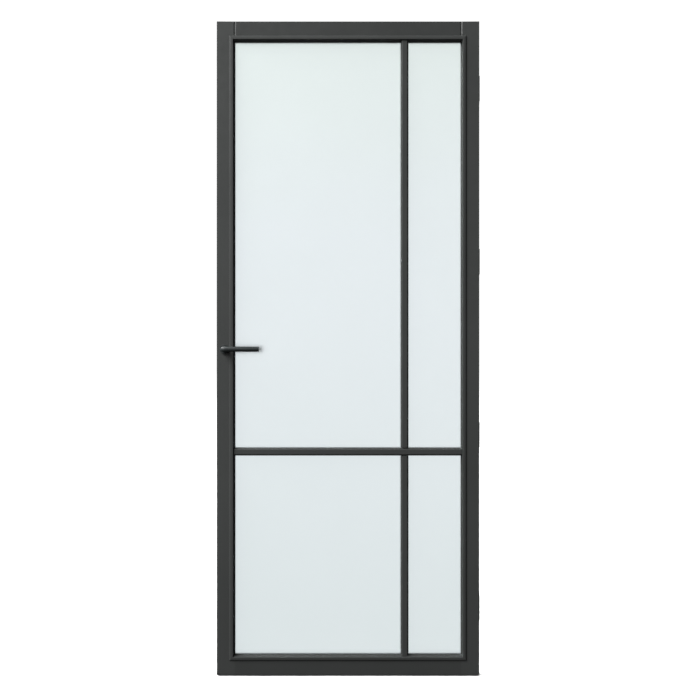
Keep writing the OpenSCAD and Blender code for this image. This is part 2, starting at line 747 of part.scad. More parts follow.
// Turned cover that hides the base and its screws
module rose_cap(back) color(black) on_face(back)
    translate([spindle_x, -half_t, lever_z]) rotate([90, 0, 0]) {
        r = rose_d / 2;
        inner = r - rose_wall;
        top = rose_h - rose_wall;
        rotate_extrude()
            polygon([[r, 0], [r, rose_h - rose_edge], [r - rose_edge, rose_h], [journal_r + near, rose_h],
                     [journal_r + near, top], [inner, top], [inner, 0]]);
    }

module rose_screws() color(zinc)
    for (back = [false, true], up = [-1, 1]) on_face(back)
        translate([spindle_x, -half_t - rose_base_t, lever_z + up * rose_screw_at]) rotate([-90, 0, 0])
            wood_screw(rose_screw_head_r, rose_screw_r, rose_screw_l);

// ---- the nodes ----

lock_stile();
hinge_stile();
top_rail();
bottom_rail();
corner_dowels();
glass_pane();
glazing_tapes(false);  // front_glazing_tapes
glazing_tapes(true);  // back_glazing_tapes
setting_blocks();
bead_upright(-1, false);  // front_bead_lock_side
bead_upright(1, false);  // front_bead_hinge_side
bead_top(false);  // front_bead_top
bead_bottom(false);  // front_bead_bottom
bead_upright(-1, true);  // back_bead_lock_side
bead_upright(1, true);  // back_bead_hinge_side
bead_top(true);  // back_bead_top
bead_bottom(true);  // back_bead_bottom
cross_bar(false);  // front_cross_bar
upright_bar_upper(false);  // front_upright_bar_upper
upright_bar_lower(false);  // front_upright_bar_lower
cross_bar(true);  // back_cross_bar
upright_bar_upper(true);  // back_upright_bar_upper
upright_bar_lower(true);  // back_upright_bar_lower
bar_tapes(false);  // front_bar_tapes
bar_tapes(true);  // back_bar_tapes
hinge_door_plate(1);  // hinge_1_door_plate
hinge_door_plate(2);  // hinge_2_door_plate
hinge_door_plate(3);  // hinge_3_door_plate
hinge_door_plate(4);  // hinge_4_door_plate
hinge_jamb_plate(1);  // hinge_1_jamb_plate
hinge_jamb_plate(2);  // hinge_2_jamb_plate
hinge_jamb_plate(3);  // hinge_3_jamb_plate
hinge_jamb_plate(4);  // hinge_4_jamb_plate
hinge_pin(1);  // hinge_1_pin
hinge_pin(2);  // hinge_2_pin
hinge_pin(3);  // hinge_3_pin
hinge_pin(4);  // hinge_4_pin
hinge_bearings();
hinge_screws();
lock_case();
lock_cover();
lock_cover_screws();
faceplate();
faceplate_screws();
latch_bolt();
latch_magnet();
latch_spring();
follower();
follower_spring();
spindle();
lever(false);  // front_lever
lever(true);  // back_lever
grub_screws();
rose_base(false);  // front_rose_base
rose_cap(false);  // front_rose_cap
rose_base(true);  // back_rose_base
rose_cap(true);  // back_rose_cap
rose_screws();
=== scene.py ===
"""Looks and studio of a slim framed glass door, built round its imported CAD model."""

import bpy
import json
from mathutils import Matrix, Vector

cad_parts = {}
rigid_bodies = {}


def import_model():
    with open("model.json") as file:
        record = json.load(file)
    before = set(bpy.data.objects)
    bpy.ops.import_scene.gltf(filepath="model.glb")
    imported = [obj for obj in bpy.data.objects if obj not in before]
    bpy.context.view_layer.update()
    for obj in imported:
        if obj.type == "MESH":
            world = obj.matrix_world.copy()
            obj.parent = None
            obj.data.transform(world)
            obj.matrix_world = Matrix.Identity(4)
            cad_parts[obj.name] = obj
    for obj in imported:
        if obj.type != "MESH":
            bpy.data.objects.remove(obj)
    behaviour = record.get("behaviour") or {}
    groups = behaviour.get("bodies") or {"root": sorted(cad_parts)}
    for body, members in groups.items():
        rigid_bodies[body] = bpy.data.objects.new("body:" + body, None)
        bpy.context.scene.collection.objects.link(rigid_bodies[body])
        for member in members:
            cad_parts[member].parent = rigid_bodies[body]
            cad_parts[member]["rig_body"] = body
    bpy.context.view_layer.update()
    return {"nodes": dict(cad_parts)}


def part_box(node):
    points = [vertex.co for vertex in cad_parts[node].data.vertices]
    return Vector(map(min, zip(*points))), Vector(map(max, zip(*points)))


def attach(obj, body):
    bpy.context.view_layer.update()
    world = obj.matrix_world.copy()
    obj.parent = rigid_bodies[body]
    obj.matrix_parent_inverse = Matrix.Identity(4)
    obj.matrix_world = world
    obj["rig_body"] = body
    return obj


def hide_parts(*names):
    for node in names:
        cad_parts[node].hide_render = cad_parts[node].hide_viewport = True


bl_info = {
    "name": "Glass Door",
    "version": (1, 0, 0),
    "blender": (4, 5, 0),
    "location": "3D View > Sidebar > Glass Door",
    "description": "Finishes a slim framed glass door leaf and sets up its studio",
    "category": "Object",
}

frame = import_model()

import json
import math

import bmesh
import bpy
from bpy.props import FloatProperty, FloatVectorProperty, IntProperty, PointerProperty
from bpy.types import Operator, Panel, PropertyGroup
from mathutils import Matrix, Vector

NODES = frame["nodes"]
FACES = {"front": 1.0, "back": -1.0}
HINGES = range(1, 5)

# Places and sizes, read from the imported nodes
LEAF_LOW, LEAF_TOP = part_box("lock_stile")[0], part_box("hinge_stile")[1]
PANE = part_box("glass_pane")
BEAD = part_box("front_bead_bottom")
BEAD_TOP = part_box("front_bead_top")
CROSS_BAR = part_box("front_cross_bar")
UPRIGHT_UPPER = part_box("front_upright_bar_upper")
UPRIGHT_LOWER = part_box("front_upright_bar_lower")
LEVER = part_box("front_lever")
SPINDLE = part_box("spindle")
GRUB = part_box("grub_screws")
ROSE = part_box("front_rose_cap")

WELD = 1e-6           # corners nearer than this are one

# Angles in degrees
FLAT = 0.2            # triangles that meet at less make one flat face
FLAT_TURN = 8.0       # on painted pieces, edges that turn by more look sharp
SMOOTH_TURN = 30.0    # the same, on all other pieces
ROUND_TURN = 25.0     # edges that turn by less aren't rounded
END_TURN = 44.0       # the same, at mitres and bar ends
PLATE_TURN = 60.0     # the same, on plates and the latch


# ---- settings ----

class DoorEdges(PropertyGroup):
    """How far the edges of each kind of piece are rounded."""

    arris: FloatProperty(name="Arris", description="Rounding of the leaf's outer edges",
                         default=0.0004, unit="LENGTH", precision=4)
    groove: FloatProperty(name="Groove", description="How much wider the joint grooves open on each side",
                          default=0.0030, unit="LENGTH", precision=4)
    bead: FloatProperty(name="Bead", description="Rounding of a glazing bead's long edges",
                        default=0.0006, unit="LENGTH", precision=4)
    bar: FloatProperty(name="Bar", description="Rounding of a glazing bar's long edges",
                       default=0.0006, unit="LENGTH", precision=4)
    joint: FloatProperty(name="Joint", description="Rounding at mitres and bar ends",
                         default=0.0002, unit="LENGTH", precision=4)
    metal: FloatProperty(name="Metal", description="Rounding of the hinges' and lock's edges",
                         default=0.0003, unit="LENGTH", precision=4)
    steps: IntProperty(name="Steps", description="Faces across a rounded edge", default=3)


class DoorFinishes(PropertyGroup):
    """Colours and sheen of the visible finishes."""

    paint: FloatVectorProperty(name="Paint", description="Colour of the frame, beads and bars",
                               default=(0.046, 0.0485, 0.0475), subtype="COLOR", size=3)
    rail_tone: FloatProperty(name="Rail tone", default=0.88, subtype="FACTOR",
                             description="How bright the rails' paint is beside the stiles'")
    paint_sheen: FloatProperty(name="Paint roughness", description="Roughness of the satin paint",
                               default=0.42, subtype="FACTOR")
    lever: FloatVectorProperty(name="Lever", description="Colour of the levers and roses",
                               default=(0.022, 0.0265, 0.027), subtype="COLOR", size=3)
    lever_sheen: FloatProperty(name="Lever roughness", description="Roughness of the powder coat",
                               default=0.60, subtype="FACTOR")
    steel: FloatVectorProperty(name="Steel", description="Colour of the hinges and faceplate",
                               default=(0.56, 0.56, 0.55), subtype="COLOR", size=3)
    glass: FloatVectorProperty(name="Glass", description="Tint of the laminated pane",
                               default=(0.790, 0.846, 0.866), subtype="COLOR", size=3)
    haze: FloatProperty(name="Glass haze", description="Roughness of the satin pane",
                        default=0.38, subtype="FACTOR")


class DoorStudio(PropertyGroup):
    """Camera, lights and floor."""

    distance: FloatProperty(name="Camera distance", description="From the leaf's front face",
                            default=3.2954, unit="LENGTH")
    height: FloatProperty(name="Camera height", description="Above the leaf's bottom edge",
                          default=1.1582, unit="LENGTH")
    field: FloatProperty(name="Field of view", description="Angle across the picture",
                         default=math.radians(41.0), subtype="ANGLE")
    key: FloatProperty(name="Key lights", description="Power of the soft light on each side",
                       default=2700.0, unit="POWER")
    fill: FloatProperty(name="Fill lights", description="Power of the wide light low on each side",
                        default=60.0, unit="POWER")
    side: FloatProperty(name="Side lights", default=80.0, unit="POWER",
                        description="Power of the lights on the leaf's edges and its metalwork")
    dome: FloatProperty(name="Dome", description="Brightness of the studio's dark surroundings",
                        default=0.05)
    floor_gap: FloatProperty(name="Floor gap", description="Space under the hanging leaf",
                             default=0.004, unit="LENGTH", precision=4)


# ---- materials ----

NOISE_SPREAD = (0.3, 0.7)    # where nearly all of a noise's values lie
# Painted shade up the pane: where, and how much of the glass's tint is left there; darker towards the bottom
# and slightly at the top
GLASS_PAINTED_SHADE = ((0.06, (0.92, 0.935, 0.925)), (0.6, (0.985, 0.985, 0.985)), (1.0, (0.955, 0.975, 0.935)))
GLASS_SHADOW = 0.15          # how much of its tint the pane lets through from the lamps
STEEL_ROUGHNESS = 0.45

# Noise scale along each axis: the grain runs along the smallest
PAINT_GRAIN = {"z": ("paint_upright", (260.0, 260.0, 9.0)), "x": ("paint_level", (9.0, 260.0, 260.0))}
STEEL_GRAIN = (900.0, 900.0, 30.0)
BRONZE_GRAIN = (900.0, 900.0, 900.0)
ZINC_GRAIN = (300.0, 300.0, 300.0)
PLATE_GRAIN = (500.0, 500.0, 60.0)
BEECH_GRAIN = (30.0, 420.0, 420.0)


def set_inputs(tree, node, sockets):
    """Gives a node's inputs, by name or number, a value or another node's output."""
    for key, value in sockets.items():
        socket = node.inputs[key]
        if isinstance(value, bpy.types.NodeSocket):
            tree.links.new(value, socket)
        else:
            socket.default_value = (*value, 1.0) if socket.type == "RGBA" else value


def add_node(tree, kind, sockets, **settings):
    node = tree.nodes.new(kind)
    for name, value in settings.items():
        setattr(node, name, value)
    set_inputs(tree, node, sockets)
    return node


def worked_out(tree, operation, *values):
    """What a math node makes of its values."""
    return add_node(tree, "ShaderNodeMath", dict(enumerate(values)), operation=operation).outputs["Value"]


def mixed(tree, factor, first, second):
    """One shader where the factor is 0 and the other where it is 1."""
    return add_node(tree, "ShaderNodeMixShader", {0: factor, 1: first, 2: second}).outputs["Shader"]


class Finish:
    """A material under construction: one Principled shader and the nodes that feed it."""

    def __init__(self, name, sockets):
        self.material = bpy.data.materials.new(name)
        self.material.use_nodes = True
        self.tree = self.material.node_tree
        self.shader = self.tree.nodes["Principled BSDF"]
        self.set(sockets)
        self.place = self.add("ShaderNodeTexCoord", {}).outputs["Object"]

    def set(self, sockets):
        set_inputs(self.tree, self.shader, sockets)

    def add(self, kind, sockets):
        return add_node(self.tree, kind, sockets)

    def stretched(self, scale):
        """The piece's own coordinates, scaled along each axis."""
        return self.add("ShaderNodeMapping", {"Vector": self.place, "Scale": scale}).outputs["Vector"]

    def noise(self, scale, detail=3.0, rough=0.5, vector=None):
        return self.add("ShaderNodeTexNoise", {"Vector": vector or self.place, "Scale": scale,
                                               "Detail": detail, "Roughness": rough}).outputs["Fac"]

    def grain(self, scale, detail, rough):
        """Noise drawn out along the axis that is scaled least."""
        return self.noise(1.0, detail, rough, self.stretched(scale))

    def between(self, factor, low, high):
        """A factor spread from one number to another."""
        first, last = NOISE_SPREAD
        return self.add("ShaderNodeMapRange", {"Value": factor, "From Min": first, "From Max": last,
                                               "To Min": low, "To Max": high}).outputs["Result"]

    def ramp(self, factor, stops):
        """A factor turned into colours, given as (position, colour) from low to high."""
        node = self.add("ShaderNodeValToRGB", {"Fac": factor})
        elements = node.color_ramp.elements
        for _ in stops[len(elements):]:
            elements.new(0.5)
        for element, (position, colour) in zip(elements, stops):
            element.position, element.color = position, (*colour, 1.0)
        return node.outputs["Color"]

    def tones(self, factor, dark, light):
        """A factor spread between two colours."""
        return self.ramp(factor, list(zip(NOISE_SPREAD, (dark, light))))

    def bump(self, *layers):
        """Height layers, each (height socket, depth in metres, strength), one over another."""
        under = {}
        for height, depth, strength in layers:
            sockets = {"Height": height, "Distance": depth, "Strength": strength, **under}
            under = {"Normal": self.add("ShaderNodeBump", sockets).outputs["Normal"]}
        self.set(under)


def shade(colour, factor):
    return tuple(channel * factor for channel in colour)


def satin_paint(name, colour, sheen, grain):
    """Sprayed satin paint with the wood's grain faint under it."""
    made = Finish(name, {"Metallic": 0.0, "IOR": 1.5, "Specular IOR Level": 0.3})
    broad = made.noise(2.2, detail=2.0)
    fibres = made.grain(grain, detail=4.0, rough=0.6)
    spray = made.noise(620.0, detail=2.0)
    made.set({
        "Base Color": made.tones(broad, shade(colour, 0.93), shade(colour, 1.08)),
        "Roughness": made.between(made.noise(35.0, detail=4.0), sheen - 0.04, sheen + 0.05),
    })
    made.bump((fibres, 0.00005, 0.35), (spray, 0.00002, 0.5))
    return made.material


def powder_coat(name, colour, sheen):
    """Fine-textured powder coat."""
    made = Finish(name, {"Metallic": 0.0, "IOR": 1.5, "Specular IOR Level": 0.3})
    grit = made.noise(1900.0, detail=2.0, rough=0.6)
    made.set({
        "Base Color": made.tones(grit, shade(colour, 0.85), shade(colour, 1.2)),
        "Roughness": made.between(made.noise(160.0), sheen - 0.05, sheen + 0.06),
    })
    made.bump((grit, 0.00002, 0.5))
    return made.material


def brushed_metal(name, colour, roughness, grain):
    """Metal with fine lines along its grain and faint stains."""
    made = Finish(name, {"Metallic": 1.0})
    lines = made.grain(grain, detail=5.0, rough=0.65)
    stains = made.noise(45.0)
    made.set({
        "Base Color": made.tones(stains, shade(colour, 0.9), shade(colour, 1.06)),
        "Roughness": made.between(lines, roughness - 0.08, roughness + 0.1),
    })
    made.bump((lines, 0.00001, 0.5))
    return made.material


def satin_glass(name, tint, haze):
    """Laminated glass with a satin haze and painted shade that darkens its tint towards the bottom, letting
    little lamplight through.
    """
    made = Finish(name, {"Metallic": 0.0, "IOR": 1.52, "Transmission Weight": 1.0})
    height = made.add("ShaderNodeSeparateXYZ", {"Vector": made.place}).outputs["Z"]
    # Painted shade: noise makes the darkening towards the bottom of the pane uneven
    shade_wobble = made.between(made.noise(0.9, detail=2.0), -0.12, 0.12)
    level = worked_out(made.tree, "MULTIPLY_ADD", height, 1.0 / PANE[1].z, shade_wobble)
    stops = [(position, [part * channel for part, channel in zip(share, tint)])
             for position, share in GLASS_PAINTED_SHADE]
    made.set({
        "Base Color": made.ramp(level, stops),
        "Roughness": made.between(made.noise(6.0), haze - 0.02, haze + 0.02),
    })
    made.bump((made.noise(900.0, detail=2.0), 0.000005, 0.2))
    shadow = made.add("ShaderNodeLightPath", {}).outputs["Is Shadow Ray"]
    through = made.add("ShaderNodeBsdfTransparent", {"Color": shade(tint, GLASS_SHADOW)}).outputs["BSDF"]
    surface = mixed(made.tree, shadow, made.shader.outputs["BSDF"], through)
    set_inputs(made.tree, made.tree.nodes["Material Output"], {"Surface": surface})
    return made.material


def closed_foam(name, colour, cells):
    """Foam or rubber with fine cells."""
    made = Finish(name, {"Metallic": 0.0})
    cell = made.add("ShaderNodeTexVoronoi", {"Vector": made.place, "Scale": cells}).outputs["Distance"]
    made.set({
        "Base Color": made.tones(cell, shade(colour, 1.2), shade(colour, 0.8)),
        "Roughness": made.between(cell, 0.75, 0.9),
    })
    made.bump((cell, 0.00005, 0.6))
    return made.material


def turned_beech(name):
    """Plain beech with its flecks."""
    made = Finish(name, {"Metallic": 0.0})
    grain = made.grain(BEECH_GRAIN, detail=5.0, rough=0.6)
    made.set({
        "Base Color": made.tones(grain, (0.42, 0.25, 0.13), (0.60, 0.41, 0.24)),
        "Roughness": made.between(grain, 0.55, 0.7),
    })
    made.bump((grain, 0.00008, 0.5))
    return made.material


def made_once(name, maker, *values):
    """The named material, made the first time it is asked for."""
    return bpy.data.materials.get(name) or maker(name, *values)


def paint_along(axis, rails=False):
    """The paint with its grain along an axis, darkened on the rails by the rail tone."""
    finishes = bpy.context.scene.door_finishes
    name, grain = PAINT_GRAIN[axis]
    colour = shade(finishes.paint, finishes.rail_tone if rails else 1.0)
    return made_once(f"{name}_rails" if rails else name, satin_paint, colour, finishes.paint_sheen, grain)


def hinge_steel():
    colour = bpy.context.scene.door_finishes.steel
    return made_once("satin_steel", brushed_metal, colour, STEEL_ROUGHNESS, STEEL_GRAIN)


def lever_coat():
    finishes = bpy.context.scene.door_finishes
    return made_once("lever_coat", powder_coat, finishes.lever, finishes.lever_sheen)


# ---- mesh helpers ----

def corners_in(geometry):
    return [item for item in geometry if isinstance(item, bmesh.types.BMVert)]


def edges_in(geometry):
    return [item for item in geometry if isinstance(item, bmesh.types.BMEdge)]


def new_prism(outline, start, end):
    """A straight solid along X from an outline of (y, z) corners."""
    bm = bmesh.new()
    face = bm.faces.new([bm.verts.new((start, y, z)) for y, z in outline])
    grown = bmesh.ops.extrude_face_region(bm, geom=[face])["geom"]
    bmesh.ops.translate(bm, verts=corners_in(grown), vec=(end - start, 0.0, 0.0))
    bmesh.ops.recalc_face_normals(bm, faces=bm.faces)
    return bm


def cut_off(bm, point, outward):
    """Cuts away what lies outward of a plane and closes the cut."""
    whole = [*bm.verts, *bm.edges, *bm.faces]
    cut = bmesh.ops.bisect_plane(bm, geom=whole, dist=WELD, plane_co=point, plane_no=outward,
                                 clear_outer=True)["geom_cut"]
    bmesh.ops.contextual_create(bm, geom=edges_in(cut))
    bmesh.ops.remove_doubles(bm, verts=bm.verts, dist=10 * WELD)
    bmesh.ops.recalc_face_normals(bm, faces=bm.faces)


def ease(bm, width, chosen, steps=None, least=ROUND_TURN):
    """Rounds the outward edges that chosen accepts and that turn by more than the least angle."""
    picked = [edge for edge in bm.edges
              if len(edge.link_faces) == 2 and edge.is_convex
              and edge.calc_face_angle() > math.radians(least) and chosen(edge)]
    if not picked:
        raise RuntimeError("no edge to round")
    bmesh.ops.bevel(bm, geom=picked, offset=width, offset_type="OFFSET", affect="EDGES",
                    segments=steps or bpy.context.scene.door_edges.steps, profile=0.5,
                    clamp_overlap=True, material=-1)


def lengthwise(edge):
    """Whether an edge runs along X."""
    way = edge.verts[1].co - edge.verts[0].co
    return abs(way.x) > 0.99 * way.length


def across(edge):
    return not lengthwise(edge)


def rim_of(centre, axis, radius, *heights):
    """A test for a turned piece's edges at a radius and at one of the heights."""
    def test(edge):
        for vert in edge.verts:
            off = vert.co - centre
            height = off.dot(axis)
            if (off - height * axis).length <= radius - WELD:
                return False
            if min(abs(height - wanted) for wanted in heights) >= WELD:
                return False
        return True
    return test


def merged_copy(node):
    """A CAD node's mesh with its triangles joined into flat faces."""
    bm = bmesh.new()
    bm.from_mesh(NODES[node].data)
    bmesh.ops.remove_doubles(bm, verts=bm.verts, dist=WELD)
    bmesh.ops.dissolve_limit(bm, angle_limit=math.radians(FLAT), verts=bm.verts, edges=bm.edges,
                             use_dissolve_boundaries=False)
    bmesh.ops.dissolve_degenerate(bm, edges=bm.edges, dist=WELD)
    return bm


def grow(bm, ring, move=(0.0, 0.0, 0.0), scale=None, centre=None):
    """Extrudes a ring of edges, moves the new ring, scales it about its centre and returns it."""
    grown = bmesh.ops.extrude_edge_only(bm, edges=ring)["geom"]
    verts = corners_in(grown)
    bmesh.ops.translate(bm, verts=verts, vec=move)
    if scale:
        bmesh.ops.scale(bm, verts=verts, vec=(scale, scale, scale), space=Matrix.Translation(-centre))
    return edges_in(grown)


def turned(profile, centre, axis, steps):
    """A solid turned about an axis, from a closed outline of (radius, height) corners."""
    bm = bmesh.new()
    side = Vector((1.0, 0.0, 0.0))
    corners = [bm.verts.new(centre + side * radius + axis * height) for radius, height in profile]
    edges = [bm.edges.new(pair) for pair in zip(corners, corners[1:] + corners[:1])]
    bmesh.ops.spin(bm, geom=edges, cent=centre, axis=axis, dvec=(0.0, 0.0, 0.0),
                   angle=2.0 * math.pi, steps=steps, use_merge=True, use_duplicate=False)
    bmesh.ops.remove_doubles(bm, verts=bm.verts, dist=WELD)
    bmesh.ops.recalc_face_normals(bm, faces=bm.faces)
    return bm


def face_side(bm, face):
    """Moves a mesh made on the front to the given face of the leaf."""
    if face == "back":
        bmesh.ops.scale(bm, verts=bm.verts, vec=(1.0, -1.0, 1.0))
        bmesh.ops.reverse_faces(bm, faces=bm.faces)


def laid(x, z, turn=0.0):
    """Where a piece made along X goes: turned about Y, then moved in the leaf's plane."""
    return Matrix.Translation((x, 0.0, z)) @ Matrix.Rotation(turn, 4, "Y")


def add_piece(bm, name, material, *nodes, smooth=SMOOTH_TURN):
    """Makes a mesh an object that stands for CAD nodes and rides with them.

    Edges that turn by more than smooth degrees stay sharp.
    """
    mesh = bpy.data.meshes.new(name)
    bm.to_mesh(mesh)
    bm.free()
    stored = mesh.attributes.get("custom_normal")
    if stored:
        mesh.attributes.remove(stored)
    mesh.materials.append(material)
    mesh.shade_smooth()
    mesh.set_sharp_from_angle(angle=math.radians(smooth))
    piece = bpy.data.objects.new(name, mesh)
    bpy.context.scene.collection.objects.link(piece)
    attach(piece, NODES[nodes[0]]["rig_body"])
    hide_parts(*nodes)
    return piece


def add_strip(bm, node, place, axis, width, end_steps):
    """Rounds a bead or bar made along X, lays it on its face of the leaf and adds it."""
    ease(bm, width, lengthwise)
    ease(bm, bpy.context.scene.door_edges.joint, across, steps=end_steps, least=END_TURN)
    bmesh.ops.transform(bm, matrix=place, verts=bm.verts)
    face_side(bm, node.split("_")[0])
    add_piece(bm, f"{node}_painted", paint_along(axis), node, smooth=FLAT_TURN)


def cut_from(piece, bm):
    """Cuts a mesh out of a piece, for good."""
    bmesh.ops.recalc_face_normals(bm, faces=bm.faces)
    mesh = bpy.data.meshes.new("cutter")
    bm.to_mesh(mesh)
    bm.free()
    cutter = bpy.data.objects.new("cutter", mesh)
    bpy.context.scene.collection.objects.link(cutter)
    cut = piece.modifiers.new("cut", "BOOLEAN")
    cut.operation, cut.solver, cut.object = "DIFFERENCE", "EXACT", cutter
    depsgraph = bpy.context.evaluated_depsgraph_get()
    before = piece.data
    piece.data = bpy.data.meshes.new_from_object(piece.evaluated_get(depsgraph))
    piece.modifiers.clear()
    piece.data.name = before.name
    bpy.data.objects.remove(cutter)
    bpy.data.meshes.remove(mesh)
    bpy.data.meshes.remove(before)
    piece.data.set_sharp_from_angle(angle=math.radians(SMOOTH_TURN))


def coat_node(node, material):
    """Gives a CAD node that stays in view its finish."""
    slots = NODES[node].material_slots
    if not slots:
        NODES[node].data.materials.append(material)
    for slot in slots:
        slot.material = material


# ---- frame ----

FRAME_AXES = {"lock_stile": "z", "hinge_stile": "z", "top_rail": "x", "bottom_rail": "x"}
JOINT_X = PANE[1].x - 0.010       # the stiles hold 10 mm of the pane
NEAR_JOINT = 0.0015               # a corner this near a joint belongs to its groove
LIP_DEPTH = 0.0002                # a groove's lips lie at most this deep,
LIP_OFF_JOINT = 0.0005            # and at least this far from the joint
FLOOR_DEPTHS = (0.0008, 0.0022)   # a groove's floor lies between these depths
GROOVE_DEPTH = 0.4                # how far it is deepened, as a share of its widening
NEAR_RIM = 0.0013                 # how near an outer edge lies to the face and to the leaf's rim
SHORTEST_ARRIS = 0.004


def open_groove(corner, widening, outward):
    """Moves a corner that belongs to a top joint's groove so that the groove opens."""
    off_joint = abs(abs(corner.x) - JOINT_X)
    depth = LEAF_TOP.y - abs(corner.y)
    if off_joint >= NEAR_JOINT or corner.z <= BEAD_TOP[1].z - WELD:
        return
    if depth < LIP_DEPTH and off_joint > LIP_OFF_JOINT:
        corner.x += math.copysign(widening, corner.x) * outward
    elif FLOOR_DEPTHS[0] < depth < FLOOR_DEPTHS[1]:
        corner.y -= math.copysign(widening * GROOVE_DEPTH, corner.y)


def on_arris(edge):
    """Whether an edge runs round the rim of one of the leaf's faces."""
    middle = (edge.verts[0].co + edge.verts[1].co) / 2
    to_face = abs(abs(middle.y) - LEAF_TOP.y)
    to_rim = min(LEAF_TOP.x - abs(middle.x), middle.z - LEAF_LOW.z, LEAF_TOP.z - middle.z)
    return max(to_face, to_rim) < NEAR_RIM and edge.calc_length() > SHORTEST_ARRIS


class DOOR_OT_frame(Operator):
    """Opens the joint grooves of the stiles and rails and rounds their outer edges"""

    bl_idname = "door.frame"
    bl_label = "Frame"

    def execute(self, context):
        edges = context.scene.door_edges
        for node, axis in FRAME_AXES.items():
            rails = node.endswith("rail")
            bm = merged_copy(node)
            for vert in bm.verts:
                open_groove(vert.co, edges.groove, -1 if rails else 1)
            ease(bm, edges.arris, on_arris, steps=2)
            add_piece(bm, f"{node}_painted", paint_along(axis, rails), node, smooth=FLAT_TURN)
        return {"FINISHED"}


# ---- beads, bars and glass ----

BEAD_CROWN = (0.005, 0.014)    # where the crown begins and ends across a bead
BEAD_SLOPE = 6.0 / 19.0        # how far a bead's inner slope leans in for its height
BAR_SIDE = 0.008               # height of a bar's upright sides
BAR_CHAMFER = 0.005            # width of the chamfers beside its crown


class DOOR_OT_beads(Operator):
    """Makes the mitred glazing beads of both faces"""

    bl_idname = "door.beads"
    bl_label = "Glazing beads"

    def execute(self, context):
        line_x, line_low, line_high = BEAD[1].x, BEAD[0].z, BEAD_TOP[1].z
        crown, foot = -BEAD[0].y, -BEAD[1].y
        outline = [(-foot, 0.0), (-LEAF_TOP.y, 0.0), (-crown, BEAD_CROWN[0]), (-crown, BEAD_CROWN[1]),
                   (-foot, BEAD[1].z - BEAD[0].z)]
        middle = (line_low + line_high) / 2
        upright, level = line_high - line_low, 2 * line_x
        sides = {
            "bottom": (level, laid(0.0, line_low), "x"),
            "top": (level, laid(0.0, line_high, math.pi), "x"),
            "lock_side": (upright, laid(-line_x, middle, math.pi / 2), "z"),
            "hinge_side": (upright, laid(line_x, middle, -math.pi / 2), "z"),
        }
        for face in FACES:
            for side, (length, place, axis) in sides.items():
                bm = new_prism(outline, -length / 2, length / 2)
                for way in (-1, 1):
                    cut_off(bm, (way * length / 2, 0.0, 0.0), (way, 0.0, 1.0))
                width = context.scene.door_edges.bead
                add_strip(bm, f"{face}_bead_{side}", place, axis, width, end_steps=1)
        return {"FINISHED"}


class DOOR_OT_bars(Operator):
    """Makes the glazing bars of both faces"""

    bl_idname = "door.bars"
    bl_label = "Glazing bars"

    def execute(self, context):
        foot, crown = -CROSS_BAR[1].y, -CROSS_BAR[0].y
        half = (CROSS_BAR[1].z - CROSS_BAR[0].z) / 2
        side, top = foot + BAR_SIDE, half - BAR_CHAMFER
        outline = [(-foot, -half), (-side, -half), (-crown, -top),
                   (-crown, top), (-side, half), (-foot, half)]
        rise = crown - foot
        slope = BEAD_SLOPE * rise
        level = laid(0.0, (CROSS_BAR[0].z + CROSS_BAR[1].z) / 2)
        upright = laid((UPRIGHT_UPPER[0].x + UPRIGHT_UPPER[1].x) / 2, 0.0, -math.pi / 2)
        # From where, to where, and which of the two ends lean back with a bead's slope
        bars = {
            "cross_bar": (CROSS_BAR[0].x, CROSS_BAR[1].x, (True, True), level, "x"),
            "upright_bar_upper": (UPRIGHT_UPPER[0].z, UPRIGHT_UPPER[1].z, (False, True), upright, "z"),
            "upright_bar_lower": (UPRIGHT_LOWER[0].z, UPRIGHT_LOWER[1].z, (True, False), upright, "z"),
        }
        for face in FACES:
            for name, (start, end, leans, place, axis) in bars.items():
                bm = new_prism(outline, start, end)
                for at, way, lean in zip((start, end), (-rise, rise), leans):
                    if lean:
                        cut_off(bm, (at, -crown, 0.0), (way, slope, 0.0))
                add_strip(bm, f"{face}_{name}", place, axis, context.scene.door_edges.bar, end_steps=2)
        return {"FINISHED"}


class DOOR_OT_glass(Operator):
    """Gives the pane, its tapes and its setting blocks their finishes"""

    bl_idname = "door.glass"
    bl_label = "Glass"

    def execute(self, context):
        finishes = context.scene.door_finishes
        coat_node("glass_pane", made_once("laminated_glass", satin_glass, finishes.glass, finishes.haze))
        foam = made_once("black_foam", closed_foam, (0.022, 0.022, 0.022), 2500.0)
        for face in FACES:
            coat_node(f"{face}_glazing_tapes", foam)
            coat_node(f"{face}_bar_tapes", foam)
        coat_node("setting_blocks", made_once("block_rubber", closed_foam, (0.03, 0.03, 0.03), 900.0))
        return {"FINISHED"}


# ---- levers and roses ----

LEVER_RADIUS = (LEVER[1].z - LEVER[0].z) / 2
LEVER_AXIS = Vector((LEVER[0].x + LEVER_RADIUS, 0.0, (LEVER[0].z + LEVER[1].z) / 2))
LEVER_BEND = 0.012       # from the bend's centre to the bar's centre line
NECK_GAP = 0.0004        # between the lever's heel and the rose
HEEL_CHAMFER = 0.0005
TIP_ROUNDING = 0.001
JOURNAL_RADIUS = 0.007   # the thinner end that turns in the rose
JOURNAL_DEPTH = 0.004    # how far it reaches into the leaf
LEVER_PLAY = 0.0001      # round the spindle
SOCKET_WIDTH = SPINDLE[1].x - SPINDLE[0].x + 2 * LEVER_PLAY
SOCKET_DEPTH = SPINDLE[1].y + LEVER_PLAY    # from the leaf's middle
GRUB_OVERRUN = 0.002     # how far the grub screw's hole goes past the socket's wall

ROSE_WALL = 0.0015
ROSE_BORE = 0.0073
TURNED_ROUNDING = 0.0012    # on the roses and the hinge pins


